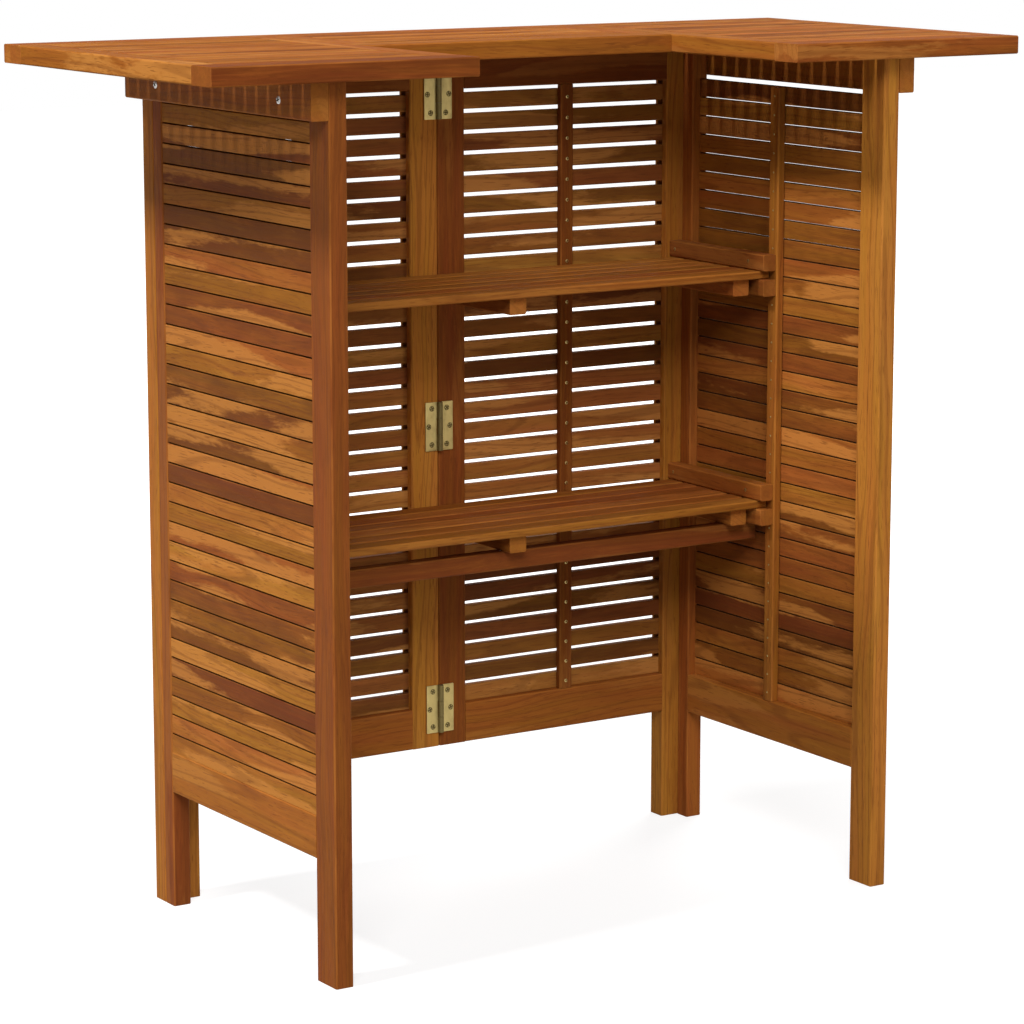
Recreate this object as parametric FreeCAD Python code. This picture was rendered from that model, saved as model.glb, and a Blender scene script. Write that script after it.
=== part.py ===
import FreeCAD, Part
import math
import os

# Slatted outdoor bar table: a three-section top on two wings and two hinged back leaves,
# with two shelves that slide in guides. Millimetres, +Z up.
# The origin is on the floor below the middle of the top, and the open serving side faces -Y.

Vector = FreeCAD.Vector

# Overall size
table_length = 1110.0
table_depth = 510.0
table_height = 1050.0

# Table top: two side tops and a shallower middle top between them
top_thickness = 22.0
side_top_width = 336.0
middle_top_depth = 256.0
top_front_overhang = 29.0
top_board_width = 45.0
end_board_width = 33.0
top_slat_width = 22.4
top_slat_gap = 3.6
seam_tongue_length = 110.0
seam_tongue_width = 18.0

# Frame: the wings stand in front of the back leaves, which carry the rear legs
frame_width = 791.0
wing_depth = 416.5
wing_thickness = 23.0
back_thickness = 26.5
front_stile_width = 44.0
rear_stile_width = 22.5
back_leg_width = 48.0
centre_stile_width = 39.5
centre_joint_gap = 0.6
leg_clear_height = 144.0
rail_height = 51.0
back_top_rail_height = 49.0
edge_chamfer = 1.5

# Louvre slats, and the battens that they are pinned to
slat_thickness = 11.0
wing_slat_height = 22.0
wing_slat_gap = 1.85
wing_slat_set_back = 11.0
back_slat_height = 20.7
back_slat_gap = 5.4
back_slat_set_back = 10.0
batten_width = 19.0

# Tongues on slats and rails, and the grooves that take them
tongue_thickness = 5.0
tongue_length = 8.0
tongue_shoulder = 6.0
joint_clearance = 0.15

# Cleats along the outside of the wings, under the side tops
cleat_thickness = 22.0
cleat_height = 43.5
slit_under_cleat = 4.5

# Shelves, and the guides that they slide in
upper_shelf_height = 750.0
lower_shelf_height = 457.0
shelf_depth = 192.5
shelf_rear_clearance = 2.0
shelf_end_clearance = 3.0
shelf_slat_width = 29.0
shelf_slat_gap = 3.7
shelf_slat_thickness = 10.0
shelf_running_clearance = 0.4
shelf_batten_width = 24.0
shelf_batten_front_inset = 10.0
shelf_batten_side_gap = 8.0
guide_width = 19.0
guide_height = 21.0
guide_length = 204.5
stretcher_thickness = 20.0
stretcher_height = 23.0
stretcher_set_back = 26.0

# Butt hinges across the joint of the two back leaves
hinge_heights = (193.5, 558.0, 974.0)
hinge_leaf_width = 20.0
hinge_leaf_height = 62.0
hinge_leaf_thickness = 2.0
hinge_barrel_radius = 3.5
hinge_barrel_stand_off = 0.2
hinge_pin_radius = 1.8
hinge_knuckle_count = 3
hinge_running_gap = 0.3
hinge_screw_end_inset = 8.0
hinge_screw_near = 11.0
hinge_screw_far = 15.5
hinge_screw_hole_radius = 2.2

# Bolts that join each wing to the leg of its back leaf
bolt_heights = (300.0, 860.0)
bolt_radius = 3.0
bolt_reach = 10.0
bolt_head_across_corners = 11.5
bolt_head_height = 4.0
fastener_clearance = 0.1

# Levels and faces that follow from the sizes
top_under = table_height - top_thickness
front_y = top_front_overhang - table_depth / 2
back_y = front_y + wing_depth
rear_y = back_y + back_thickness
outer_x = frame_width / 2
inner_x = outer_x - wing_thickness
rail_top = leg_clear_height + rail_height
rail_tongue_bottom = leg_clear_height + tongue_shoulder
top_rail_bottom = top_under - back_top_rail_height
cleat_bottom = top_under - cleat_height
wing_slat_top = cleat_bottom - slit_under_cleat
wing_slat_x = inner_x + wing_slat_set_back
back_slat_y = back_y + back_slat_set_back
wing_opening = (front_y + front_stile_width, back_y - rear_stile_width)
leaf_opening = (centre_joint_gap / 2 + centre_stile_width, outer_x - back_leg_width)
groove_depth = tongue_length + joint_clearance
middle_top_half = table_length / 2 - side_top_width
middle_top_front = table_depth / 2 - middle_top_depth
seam_tongue_y = (middle_top_front + table_depth / 2) / 2
top_middle_z = top_under + top_thickness / 2
guide_inner_x = inner_x - guide_width
guide_front_y = back_y - guide_length
shelf_rear_y = back_y - shelf_rear_clearance
shelf_front_y = shelf_rear_y - shelf_depth
hinge_face_y = back_y - hinge_leaf_thickness
hinge_axis_y = back_y - hinge_barrel_radius - hinge_barrel_stand_off
bolt_x = outer_x - wing_thickness / 2

# Drawing planes: the two directions of a section, and the direction that it is extruded in
planes = {
    "plan": (Vector(1, 0, 0), Vector(0, 1, 0), Vector(0, 0, 1)),
    "plan_turned": (Vector(0, 1, 0), Vector(1, 0, 0), Vector(0, 0, 1)),
    "front": (Vector(1, 0, 0), Vector(0, 0, 1), Vector(0, 1, 0)),
    "side": (Vector(0, 1, 0), Vector(0, 0, 1), Vector(1, 0, 0)),
}

rearward = Vector(0, 1, 0)
parts = {}


def widened(span, amount):
    """A span that reaches further at both ends."""
    return (span[0] - amount, span[1] + amount)


def centred(middle, width):
    """The span of a given width about a middle."""
    return (middle - width / 2, middle + width / 2)


def box(x, y, z):
    """A block between three spans."""
    return Part.makeBox(x[1] - x[0], y[1] - y[0], z[1] - z[0], Vector(x[0], y[0], z[0]))


def section_bar(plane, outline, along):
    """Extrude a straight-sided section along the third direction of its plane."""
    u_way, v_way, w_way = planes[plane]
    points = [u_way * u + v_way * v + w_way * along[0] for u, v in outline]
    section = Part.Face(Part.makePolygon(points + points[:1]))
    return section.extrude(w_way * (along[1] - along[0]))


def bar(plane, across, up, along):
    """Planed timber: a rectangular section with chamfered corners, extruded along its grain."""
    inner_across = widened(across, -edge_chamfer)
    inner_up = widened(up, -edge_chamfer)
    outline = (
        (inner_across[0], up[0]), (inner_across[1], up[0]),
        (across[1], inner_up[0]), (across[1], inner_up[1]),
        (inner_across[1], up[1]), (inner_across[0], up[1]),
        (across[0], inner_up[1]), (across[0], inner_up[0]),
    )
    return section_bar(plane, outline, along)


def slat(plane, length, thickness, tongue, width):
    """A slat with a tongue on each end, drawn along its length and extruded over its width."""
    tips = widened(length, tongue_length)
    outline = (
        (tips[0], tongue[0]), (length[0], tongue[0]), (length[0], thickness[0]),
        (length[1], thickness[0]), (length[1], tongue[0]), (tips[1], tongue[0]),
        (tips[1], tongue[1]), (length[1], tongue[1]), (length[1], thickness[1]),
        (length[0], thickness[1]), (length[0], tongue[1]), (tips[0], tongue[1]),
    )
    return section_bar(plane, outline, width)


def slat_spans(span, width, nominal_gap, gaps_at_ends):
    """Spread slats of one width over a span; their number follows the span, and the gaps even out.

    gaps_at_ends is the number of the span's two ends that have a gap: 0, 1 (the far end) or 2.
    """
    length = span[1] - span[0]
    spare = (gaps_at_ends - 1) * nominal_gap
    count = max(2, round((length - spare) / (width + nominal_gap)))
    gap = (length - count * width) / (count - 1 + gaps_at_ends)
    first = span[0] + (gap if gaps_at_ends == 2 else 0.0)
    starts = [first + index * (width + gap) for index in range(count)]
    return [(start, start + width) for start in starts]


def mirrored(shape):
    """The same piece on the other side of the table."""
    return shape.mirror(Vector(0, 0, 0), Vector(1, 0, 0))


def add_pair(name, shape):
    """Keep a right-hand piece and its left-hand mirror image."""
    parts["right_" + name] = shape
    parts["left_" + name] = mirrored(shape)


def bolt_bore(height):
    """The hole for one corner bolt, through the back leg and into the wing's rear stile."""
    start = Vector(bolt_x, back_y - bolt_reach - fastener_clearance, height)
    return Part.makeCylinder(bolt_radius + fastener_clearance, rear_y - start.y, start, rearward)


def hinge_screw_places(height):
    """Where a leaf of the hinge at this height has its screws: two near the barrel and one further out."""
    reach = hinge_leaf_height / 2 - hinge_screw_end_inset
    return (
        (hinge_screw_near, height - reach),
        (hinge_screw_far, height),
        (hinge_screw_near, height + reach),
    )


def build_wings():
    """Stiles, bottom rail, slats, batten and cleat of the wings."""
    thickness = (inner_x, outer_x)
    tongue = centred(wing_slat_x + slat_thickness / 2, tongue_thickness)
    groove = widened(tongue, joint_clearance)
    groove_z = (rail_tongue_bottom - joint_clearance, wing_slat_top + joint_clearance)
    opening_front, opening_rear = wing_opening

    front_stile = bar("plan", thickness, (front_y, opening_front), (0.0, top_under))
    front_groove = box(groove, (opening_front - groove_depth, opening_front), groove_z)
    add_pair("wing_front_stile", front_stile.cut(front_groove))

    rear_stile = bar("plan", thickness, (opening_rear, back_y), (0.0, top_under))
    rear_groove = box(groove, (opening_rear, opening_rear + groove_depth), groove_z)
    bores = [bolt_bore(height) for height in bolt_heights]
    add_pair("wing_rear_stile", rear_stile.cut([rear_groove] + bores))

    rail = bar("front", thickness, (leg_clear_height, rail_top), wing_opening)
    rail_tongue_z = (rail_tongue_bottom, rail_top - edge_chamfer)
    rail_tongue = box(tongue, widened(wing_opening, tongue_length), rail_tongue_z)
    add_pair("wing_bottom_rail", rail.fuse(rail_tongue).removeSplitter())

    slat_depth = (wing_slat_x, wing_slat_x + slat_thickness)
    levels = slat_spans((rail_top, wing_slat_top), wing_slat_height, wing_slat_gap, 0)
    slats = [slat("plan_turned", wing_opening, slat_depth, tongue, level) for level in levels]
    add_pair("wing_slats", Part.Compound(slats))

    batten_y = centred((opening_front + opening_rear) / 2, batten_width)
    add_pair("wing_batten", bar("plan", (inner_x, wing_slat_x), batten_y, (rail_top, wing_slat_top)))

    cleat_x = (outer_x, outer_x + cleat_thickness)
    add_pair("wing_cleat", bar("front", cleat_x, (cleat_bottom, top_under), (front_y, rear_y)))


def build_back_leaves():
    """Leg, hinge stile, rails, slats and batten of the two leaves of the back."""
    thickness = (back_y, rear_y)
    tongue = (back_slat_y, back_slat_y + slat_thickness)
    groove = widened(tongue, joint_clearance)
    top_tongue = (top_rail_bottom + edge_chamfer, top_under - tongue_shoulder)
    bottom_tongue = (rail_tongue_bottom, rail_top - edge_chamfer)
    groove_z = (bottom_tongue[0] - joint_clearance, top_tongue[1] + joint_clearance)
    opening_inner, opening_outer = leaf_opening

    leg = bar("plan", (opening_outer, outer_x), thickness, (0.0, top_under))
    leg_groove = box((opening_outer, opening_outer + groove_depth), groove, groove_z)
    bores = [bolt_bore(height) for height in bolt_heights]
    add_pair("back_leg", leg.cut([leg_groove] + bores))

    stile_x = (centre_joint_gap / 2, opening_inner)
    hinge_stile = bar("plan", stile_x, thickness, (leg_clear_height, top_under))
    stile_groove = box((opening_inner - groove_depth, opening_inner), groove, groove_z)
    add_pair("back_hinge_stile", hinge_stile.cut(stile_groove))

    rails = (
        ("back_bottom_rail", (leg_clear_height, rail_top), bottom_tongue),
        ("back_top_rail", (top_rail_bottom, top_under), top_tongue),
    )
    for name, level, tongue_z in rails:
        rail = bar("side", thickness, level, leaf_opening)
        rail_tongue = box(widened(leaf_opening, tongue_length), tongue, tongue_z)
        add_pair(name, rail.fuse(rail_tongue).removeSplitter())

    levels = slat_spans((rail_top, top_rail_bottom), back_slat_height, back_slat_gap, 1)
    slats = [box(widened(leaf_opening, tongue_length), tongue, level) for level in levels]
    add_pair("back_slats", Part.Compound(slats))

    batten_x = centred((opening_inner + opening_outer) / 2, batten_width)
    add_pair("back_batten", bar("plan", batten_x, (back_y, back_slat_y), (rail_top, top_rail_bottom)))


def build_hinges():
    """Leaves and pins of the three butt hinges."""
    knuckle_pitch = hinge_leaf_height / hinge_knuckle_count
    bore_radius = hinge_pin_radius + fastener_clearance
    plate_edge = hinge_barrel_radius + hinge_running_gap
    leaves = {"left": [], "right": []}
    pins = []
    for height in hinge_heights:
        bottom = height - hinge_leaf_height / 2
        top = height + hinge_leaf_height / 2
        plate = box((plate_edge, hinge_leaf_width), (hinge_face_y, back_y), (bottom, top))
        for x, z in hinge_screw_places(height):
            hole_start = Vector(x, hinge_face_y, z)
            hole = Part.makeCylinder(hinge_screw_hole_radius, hinge_leaf_thickness, hole_start, rearward)
            plate = plate.cut(hole)
        shapes = {"left": [mirrored(plate)], "right": [plate]}
        for index in range(hinge_knuckle_count):
            low = bottom + index * knuckle_pitch + hinge_running_gap / 2
            high = low + knuckle_pitch - hinge_running_gap
            knuckle = Part.makeCylinder(hinge_barrel_radius, high - low, Vector(0, hinge_axis_y, low))
            web = box((0.0, plate_edge + hinge_leaf_thickness), (hinge_face_y, back_y), (low, high))
            if index % 2 == 0:
                shapes["left"].append(knuckle.fuse(mirrored(web)))
            else:
                shapes["right"].append(knuckle.fuse(web))
        bore = Part.makeCylinder(bore_radius, hinge_leaf_height, Vector(0, hinge_axis_y, bottom))
        for side, pieces in shapes.items():
            leaves[side].append(pieces[0].fuse(pieces[1:]).cut(bore).removeSplitter())
        pins.append(Part.makeCylinder(hinge_pin_radius, hinge_leaf_height, Vector(0, hinge_axis_y, bottom)))
    parts["hinge_leaves_left"] = Part.Compound(leaves["left"])
    parts["hinge_leaves_right"] = Part.Compound(leaves["right"])
    parts["hinge_pins"] = Part.Compound(pins)


def build_corner_bolts():
    """Hexagon-headed bolts from the rear of each back leg into the wing in front of it."""
    tip_y = back_y - bolt_reach
    bolts = []
    for height in bolt_heights:
        outline = []
        for corner in range(6):
            turn = math.radians(60 * corner)
            reach = bolt_head_across_corners / 2
            outline.append((bolt_x + reach * math.cos(turn), height + reach * math.sin(turn)))
        head = section_bar("front", outline, (rear_y, rear_y + bolt_head_height))
        tip = Vector(bolt_x, tip_y, height)
        shank = Part.makeCylinder(bolt_radius, rear_y - tip_y, tip, rearward)
        bolt = head.fuse(shank)
        bolts.extend([bolt, mirrored(bolt)])
    parts["corner_bolts"] = Part.Compound(bolts)


def top_section(x, y, seams):
    """Boards and slats of one section of the top.

    seams holds the x places of the joints with the next sections, where loose tongues go in.
    """
    z = (top_under, table_height)
    tongue_z = centred(top_middle_z, tongue_thickness)
    groove_z = widened(tongue_z, joint_clearance)
    field_x = widened(x, -end_board_width)
    field_y = widened(y, -top_board_width)
    ends_x = ((x[0], field_x[0]), (field_x[1], x[1]))

    front_board = bar("side", (y[0], field_y[0]), z, x)
    rear_board = bar("side", (field_y[1], y[1]), z, x)
    end_boards = []
    for end_x in ends_x:
        tongue_x = widened(end_x, -tongue_shoulder)
        mortise_x = widened(tongue_x, joint_clearance)
        front_board = front_board.cut(box(mortise_x, (field_y[0] - groove_depth, field_y[0]), groove_z))
        rear_board = rear_board.cut(box(mortise_x, (field_y[1], field_y[1] + groove_depth), groove_z))
        board = bar("front", end_x, z, field_y)
        board = board.fuse(box(tongue_x, widened(field_y, tongue_length), tongue_z)).removeSplitter()
        end_boards.append(board.cut(box(widened(field_x, groove_depth), field_y, groove_z)))
    for index, end_x in enumerate(ends_x):
        for seam in seams:
            if seam in end_x:
                end_boards[index] = end_boards[index].cut(seam_tongue(seam, joint_clearance))

    spans = slat_spans(field_y, top_slat_width, top_slat_gap, 2)
    slats = [slat("front", field_x, z, tongue_z, span) for span in spans]
    return front_board, rear_board, end_boards, Part.Compound(slats)


def seam_tongue(seam, clearance):
    """The loose tongue across one seam of the top; with a clearance, the slots that take it."""
    x = widened(centred(seam, seam_tongue_width), clearance)
    y = widened(centred(seam_tongue_y, seam_tongue_length), clearance)
    return box(x, y, widened(centred(top_middle_z, tongue_thickness), clearance))


def build_top():
    """The side tops, the middle top and the loose tongues between them."""
    half_length = table_length / 2
    rear = table_depth / 2
    side = top_section((middle_top_half, half_length), (-rear, rear), (middle_top_half,))
    front_board, rear_board, (inner_board, outer_board), slats = side
    add_pair("top_front_board", front_board)
    add_pair("top_rear_board", rear_board)
    add_pair("top_inner_board", inner_board)
    add_pair("top_outer_board", outer_board)
    add_pair("top_slats", slats)

    seams = (-middle_top_half, middle_top_half)
    middle = top_section(seams, (middle_top_front, rear), seams)
    front_board, rear_board, (left_board, right_board), slats = middle
    parts["middle_top_front_board"] = front_board
    parts["middle_top_rear_board"] = rear_board
    parts["middle_top_left_board"] = left_board
    parts["middle_top_right_board"] = right_board
    parts["middle_top_slats"] = slats
    parts["top_seam_tongues"] = Part.Compound([seam_tongue(seam, 0.0) for seam in seams])


def build_shelf(name, height):
    """One shelf of slats on three cross battens, and the guides that hold its ends."""
    half_length = inner_x - shelf_end_clearance
    slat_z = (height - shelf_slat_thickness, height)
    slats = []
    for span in slat_spans((shelf_front_y, shelf_rear_y), shelf_slat_width, shelf_slat_gap, 0):
        slats.append(bar("side", span, slat_z, (-half_length, half_length)))
    parts[name + "_shelf_slats"] = Part.Compound(slats)

    batten_z = (slat_z[0] - guide_height, slat_z[0])
    batten_y = (shelf_front_y + shelf_batten_front_inset, shelf_rear_y)
    end_batten = guide_inner_x - shelf_batten_side_gap - shelf_batten_width / 2
    battens = []
    for middle in (-end_batten, 0.0, end_batten):
        battens.append(bar("front", centred(middle, shelf_batten_width), batten_z, batten_y))
    parts[name + "_shelf_battens"] = Part.Compound(battens)

    guide_x = (guide_inner_x, inner_x)
    guide_y = (guide_front_y, back_y)
    channel = widened(slat_z, shelf_running_clearance)
    add_pair(name + "_guide_above", bar("front", guide_x, (channel[1], channel[1] + guide_height), guide_y))
    add_pair(name + "_guide_below", bar("front", guide_x, (channel[0] - guide_height, channel[0]), guide_y))


def build_stretcher():
    """The bar under the lower shelf, fixed to the undersides of its lower guides."""
    top = lower_shelf_height - shelf_slat_thickness - shelf_running_clearance - guide_height
    y = (shelf_front_y + stretcher_set_back, shelf_front_y + stretcher_set_back + stretcher_thickness)
    parts["stretcher"] = bar("side", y, (top - stretcher_height, top), (-inner_x, inner_x))


build_wings()
build_back_leaves()
build_hinges()
build_corner_bolts()
build_top()
build_shelf("upper", upper_shelf_height)
build_shelf("lower", lower_shelf_height)
build_stretcher()

os.makedirs("parts", exist_ok=True)
for node, shape in parts.items():
    shape.exportStep("parts/" + node + ".step")

whole = Part.Compound(list(parts.values()))
print(len(parts), "nodes,", len(whole.Solids), "solids,", whole.BoundBox)
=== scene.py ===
"""Slatted outdoor bar table in oiled hardwood: every board, hinge, screw and bolt with its finish."""

import logging
import math
import random
from dataclasses import dataclass, field
from enum import Enum

import bmesh
import bpy
from mathutils import Euler, Matrix, Vector


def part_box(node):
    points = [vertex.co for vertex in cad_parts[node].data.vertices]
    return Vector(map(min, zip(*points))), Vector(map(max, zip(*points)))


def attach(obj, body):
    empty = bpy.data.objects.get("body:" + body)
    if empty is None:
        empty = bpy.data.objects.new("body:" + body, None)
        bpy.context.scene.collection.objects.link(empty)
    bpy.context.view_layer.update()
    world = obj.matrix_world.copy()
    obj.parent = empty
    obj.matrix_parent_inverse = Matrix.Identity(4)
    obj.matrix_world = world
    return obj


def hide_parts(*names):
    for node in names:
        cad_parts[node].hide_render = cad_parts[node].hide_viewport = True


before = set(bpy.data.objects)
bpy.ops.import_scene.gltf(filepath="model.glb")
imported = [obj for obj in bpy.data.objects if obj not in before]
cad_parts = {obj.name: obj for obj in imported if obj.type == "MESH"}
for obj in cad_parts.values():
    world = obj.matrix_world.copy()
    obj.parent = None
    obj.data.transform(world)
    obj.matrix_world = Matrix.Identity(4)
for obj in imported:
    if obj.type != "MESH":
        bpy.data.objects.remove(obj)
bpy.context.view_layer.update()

Triple = tuple[float, float, float]
Colour = Triple
Span = tuple[float, float]
Socket = bpy.types.NodeSocket
Feed = Socket | float | tuple[float, ...]

MM = 0.001
WELD = 0.01 * MM
FLAT = math.radians(1.0)
SHARP = math.radians(20.0)
ROUND = math.radians(40.0)
FORWARD = Vector((0.0, -1.0, 0.0))
NOISE_MEAN = 0.5
WHITE: Colour = (1.0, 1.0, 1.0)
# The Edge mark carries pale edge wear with a painted highlight, the Gap mark painted shade on the gap
# walls.
BOARD_MARKS = {
    "Tone": "tone", "Tint": "tint", "Flames": "flames",
    "End": "end_grain", "Edge": "edge", "Gap": "gap",
}

log = logging.getLogger("bar_table")


class Axis(Enum):
    """One of the three directions of the table."""

    X = 0
    Y = 1
    Z = 2

    @property
    def order(self) -> tuple[int, int, int]:
        """Coordinates in the order along, across and through the board."""
        return {0: (0, 1, 2), 1: (1, 0, 2), 2: (2, 0, 1)}[self.value]

    @property
    def way(self) -> Vector:
        """Unit vector along the axis."""
        return Vector([1.0 if index == self.value else 0.0 for index in range(3)])


class Side(Enum):
    """Left and right of the table, seen from its serving side."""

    LEFT = -1
    RIGHT = 1

    @property
    def prefix(self) -> str:
        """First word of the names of the pieces on this side."""
        return self.name.lower()


class Slot(Enum):
    """Finishes of the table, by the name of their material."""

    TOP = "wood_top"
    FRAME = "wood_frame"
    SLAT = "wood_slat"
    # A greyer copy of the slat wood for the back slats, whose colour stands in for the light in the
    # shade inside the table.
    BACK = "wood_slat_back"
    SHELF = "wood_shelf"
    BRASS = "brass_hinge"
    PIN = "steel_pin"
    BOLT = "steel_bolt"

    @property
    def in_record(self) -> str:
        """Slot of the record that the finish fills."""
        return Slot.SLAT.value if self is Slot.BACK else self.value


@dataclass(frozen=True)
class Box:
    """A block of space between two corners."""

    low: Vector
    high: Vector

    @property
    def size(self) -> Vector:
        """Lengths of the sides."""
        return self.high - self.low

    @property
    def centre(self) -> Vector:
        """Middle of the block."""
        return (self.low + self.high) / 2

    def shortened(self, axis: Axis, amount: float) -> "Box":
        """Cut the same length off both ends.

        Args:
            axis: direction in which the block gets shorter.
            amount: length that comes off each end.

        Returns:
            The shorter block.
        """
        return Box(self.low + axis.way * amount, self.high - axis.way * amount)


def copy_of(node: str) -> bmesh.types.BMesh:
    """Copy the bare faces of a node of the frame, with their corners joined.

    Args:
        node: name of the node.

    Returns:
        A new mesh, with flat faces in as few pieces as they can have.
    """
    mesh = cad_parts[node].data
    bm = bmesh.new()
    for polygon in mesh.polygons:
        bm.faces.new([bm.verts.new(mesh.vertices[index].co) for index in polygon.vertices])
    bmesh.ops.remove_doubles(bm, verts=bm.verts[:], dist=WELD)
    bmesh.ops.dissolve_limit(bm, angle_limit=FLAT, verts=bm.verts[:], edges=bm.edges[:])
    return bm


def solids_in(bm: bmesh.types.BMesh) -> list[tuple[Box, list[bmesh.types.BMVert]]]:
    """Tell the separate solids of a mesh apart.

    Args:
        bm: mesh with any number of solids.

    Returns:
        The space and the vertices of each solid, in order of their lowest corners.
    """
    solids = []
    unseen = set(bm.verts)
    while unseen:
        verts = [unseen.pop()]
        for vert in verts:
            for edge in vert.link_edges:
                other = edge.other_vert(vert)
                if other in unseen:
                    unseen.remove(other)
                    verts.append(other)
        columns = list(zip(*(vert.co for vert in verts)))
        solids.append((Box(Vector(map(min, columns)), Vector(map(max, columns))), verts))
    return sorted(solids, key=lambda solid: tuple(round(value, 5) for value in solid[0].low.zyx))


def solids_of(node: str) -> list[Box]:
    """Measure the separate solids of a node of the frame.

    Args:
        node: name of the node.

    Returns:
        One block for each solid, in order of their lowest corners.
    """
    bm = copy_of(node)
    boxes = [box for box, _ in solids_in(bm)]
    bm.free()
    return boxes


def sharp_edges(bm: bmesh.types.BMesh) -> list[bmesh.types.BMEdge]:
    """Find the edges of a mesh that stick out."""
    return [edge for edge in bm.edges if edge.calc_face_angle_signed() > SHARP]


def ease(bm: bmesh.types.BMesh, edges: list[bmesh.types.BMEdge], amount: float, segments: int) -> None:
    """Round edges of a mesh.

    Args:
        bm: mesh that the edges belong to.
        edges: the edges.
        amount: how far the rounding reaches to either side of an edge.
        segments: number of faces across the rounding.
    """
    bmesh.ops.bevel(
        bm, geom=edges, offset=amount, offset_type="OFFSET", segments=segments,
        profile=0.5, affect="EDGES", clamp_overlap=True, material=-1,
    )


@dataclass(frozen=True)
class Noise:
    """A noise, with its features to a metre in each direction, its finer octaves and their strength."""

    scales: Triple
    detail: float = 0.0
    roughness: float = 0.5


class NodeSheet:
    """A node tree with short ways to add nodes and join them."""

    def __init__(self, tree: bpy.types.NodeTree) -> None:
        """Take the tree that the nodes go into."""
        self.tree = tree

    def add(self, kind: str, **settings: object) -> bpy.types.Node:
        """Add a node.

        Args:
            kind: Blender's type name of the node.
            settings: values of the node's own properties.

        Returns:
            The new node.
        """
        node = self.tree.nodes.new(kind)
        for name, value in settings.items():
            setattr(node, name, value)
        return node

    def feed(self, socket: Socket, value: Feed) -> None:
        """Join a socket to an input, or set the input's own value.

        Args:
            socket: the input.
            value: socket to join to it, or number, vector or colour to set.
        """
        if isinstance(value, Socket):
            self.tree.links.new(value, socket)
        else:
            socket.default_value = value

    def math(self, operation: str, first: Feed, second: Feed = 0.0, third: Feed = 0.0) -> Socket:
        """Work out a number.

        Args:
            operation: name of the operation of the Math node.
            first: first number.
            second: second number, where the operation has one.
            third: third number, where the operation has one.

        Returns:
            The socket with the result.
        """
        node = self.add("ShaderNodeMath", operation=operation)
        for socket, value in zip(node.inputs, (first, second, third)):
            self.feed(socket, value)
        return node.outputs[0]

    def stretched(self, vector: Socket, scales: Triple) -> Socket:
        """Scale a vector by a different amount in each direction.

        Args:
            vector: the vector.
            scales: amounts along the three directions.

        Returns:
            The socket with the scaled vector.
        """
        node = self.add("ShaderNodeVectorMath", operation="MULTIPLY")
        self.feed(node.inputs[0], vector)
        self.feed(node.inputs[1], scales)
        return node.outputs[0]

    def noise(self, place: Socket, kind: Noise) -> Socket:
        """Make a noise that is stretched its own way in each direction.

        Args:
            place: place on the piece, in metres.
            kind: scales and octaves of the noise.

        Returns:
            The socket with the noise, about 0.5.
        """
        node = self.add("ShaderNodeTexNoise")
        self.feed(node.inputs["Vector"], self.stretched(place, kind.scales))
        self.feed(node.inputs["Scale"], 1.0)
        self.feed(node.inputs["Detail"], kind.detail)
        self.feed(node.inputs["Roughness"], kind.roughness)
        return node.outputs[0]

    def step(self, value: Feed, start: Feed, end: Feed) -> Socket:
        """Rise smoothly from 0 to 1 between two values.

        Args:
            value: number that passes the two values.
            start: where the rise begins.
            end: where the rise ends.

        Returns:
            The socket with the result.
        """
        node = self.add("ShaderNodeMapRange", interpolation_type="SMOOTHSTEP")
        self.feed(node.inputs["Value"], value)
        self.feed(node.inputs["From Min"], start)
        self.feed(node.inputs["From Max"], end)
        return node.outputs[0]

    def mix(self, factor: Feed, first: Feed, second: Feed, blend: str = "MIX") -> Socket:
        """Mix two colours.

        Args:
            factor: share of the second colour.
            first: colour at a factor of 0.
            second: colour at a factor of 1.
            blend: blend mode of the Mix node.

        Returns:
            The socket with the mixed colour.
        """
        node = self.add("ShaderNodeMix", data_type="RGBA", blend_type=blend)
        for index, value in ((0, factor), (6, first), (7, second)):
            self.feed(node.inputs[index], value)
        return node.outputs[2]

    def overlay(self, mask: Socket, share: Feed, colour: Socket, other: Feed) -> Socket:
        """Lay a share of another colour over a colour, where a mask is 1."""
        return self.mix(self.math("MULTIPLY", mask, share), colour, other)


def rgba(colour: Colour) -> tuple[float, float, float, float]:
    """Give a colour its alpha."""
    return (*colour, 1.0)


def new_group(name: str, inputs: dict[str, str], outputs: dict[str, str]) -> NodeSheet:
    """Start a shader node group.

    Args:
        name: name of the group.
        inputs: socket types of the inputs by name.
        outputs: socket types of the outputs by name.

    Returns:
        A sheet on the empty group.
    """
    tree = bpy.data.node_groups.new(name, "ShaderNodeTree")
    for way, sockets in (("INPUT", inputs), ("OUTPUT", outputs)):
        for socket, kind in sockets.items():
            tree.interface.new_socket(name=socket, in_out=way, socket_type="NodeSocket" + kind)
    return NodeSheet(tree)


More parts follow.
